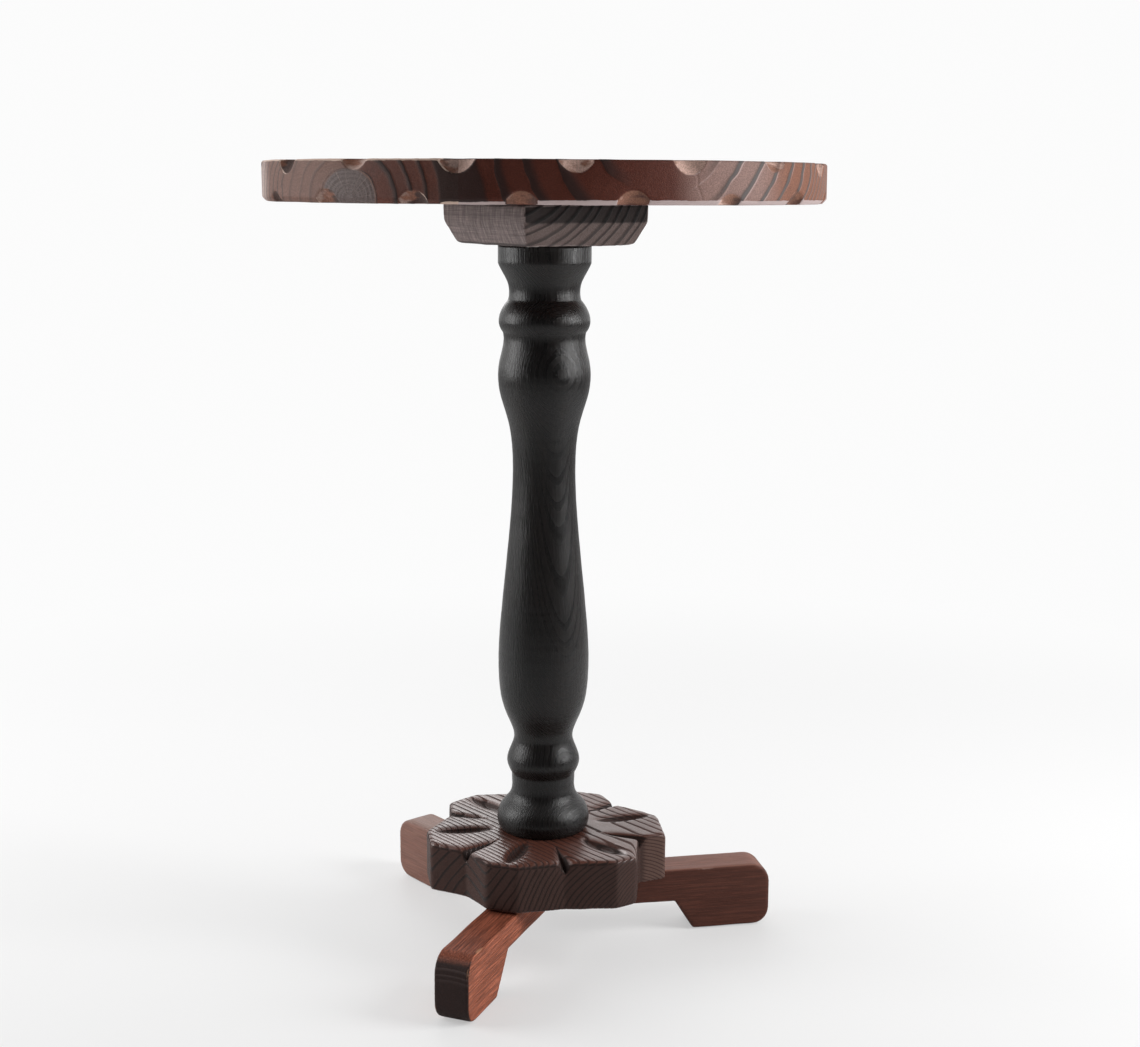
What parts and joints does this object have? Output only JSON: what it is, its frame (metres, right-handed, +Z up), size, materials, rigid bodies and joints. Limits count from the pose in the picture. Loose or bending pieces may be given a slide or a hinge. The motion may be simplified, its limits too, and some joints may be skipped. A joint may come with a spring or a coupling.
{
  "type": "pedestal side table",
  "caption": "Small round pedestal side table: a gouge-edged plank top on a square block, a turned column, a carved petalled base disc and block feet.",
  "frame": {"origin": "on the floor, under the axis of the column", "axes": "+Z up along the column; the pictured side looks towards -Y, with +X to its right"},
  "size_m": [0.365, 0.365, 0.535],
  "materials": {
    "top_wood": "oiled softwood planks, brown-red with dark growth rings, paler in the gouges",
    "block_wood": "brushed softwood, grey-brown with dark growth rings, dull",
    "column_stain": "turned softwood with a black satin stain, grain faintly raised",
    "disc_wood": "brushed carved softwood, dark brown with raised growth rings",
    "foot_wood": "oiled softwood, red-brown, satin",
    "peg_wood": "plain hardwood dowels and wedges",
    "screw_steel": "slotted steel wood screws"
  },
  "bodies": {
    "root": {"top_board_wide": "top_wood", "top_board_narrow": "top_wood", "board_dowels": "peg_wood", "top_block": "block_wood", "top_block_screws": "screw_steel", "column": "column_stain", "upper_wedge": "peg_wood", "lower_wedge": "peg_wood", "base_disc": "disc_wood", "foot_right": "foot_wood", "foot_rear": "foot_wood", "foot_front": "foot_wood", "foot_screws": "screw_steel"}
  },
  "joints": []
}
